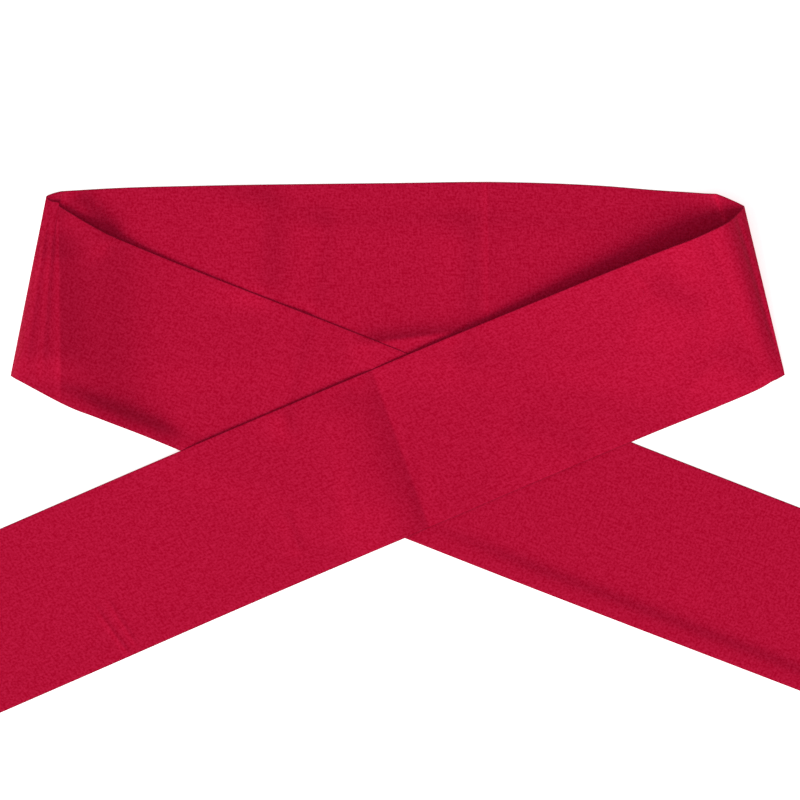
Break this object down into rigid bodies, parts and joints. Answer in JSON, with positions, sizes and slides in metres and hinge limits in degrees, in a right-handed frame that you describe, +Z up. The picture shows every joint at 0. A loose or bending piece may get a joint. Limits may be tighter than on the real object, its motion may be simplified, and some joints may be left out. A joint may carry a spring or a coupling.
{
  "type": "skinny silk scarf",
  "caption": "Skinny silk scarf laid flat, its neck stretch behind and its tails turned down at both sides to cross in front.",
  "frame": {"origin": "on the surface that the scarf lies on, under the middle of its outline seen from above", "axes": "+Z up from the surface, +Y towards the neck stretch, +X along the neck stretch to the turn of the tail that lies on top"},
  "size_m": [0.87, 0.38, 0.0176],
  "materials": {
    "silk": "crimson plain-woven silk with a soft low sheen"
  },
  "bodies": {
    "root": {"neck_stretch": "silk", "under_tail": "silk", "over_tail": "silk"}
  },
  "joints": []
}
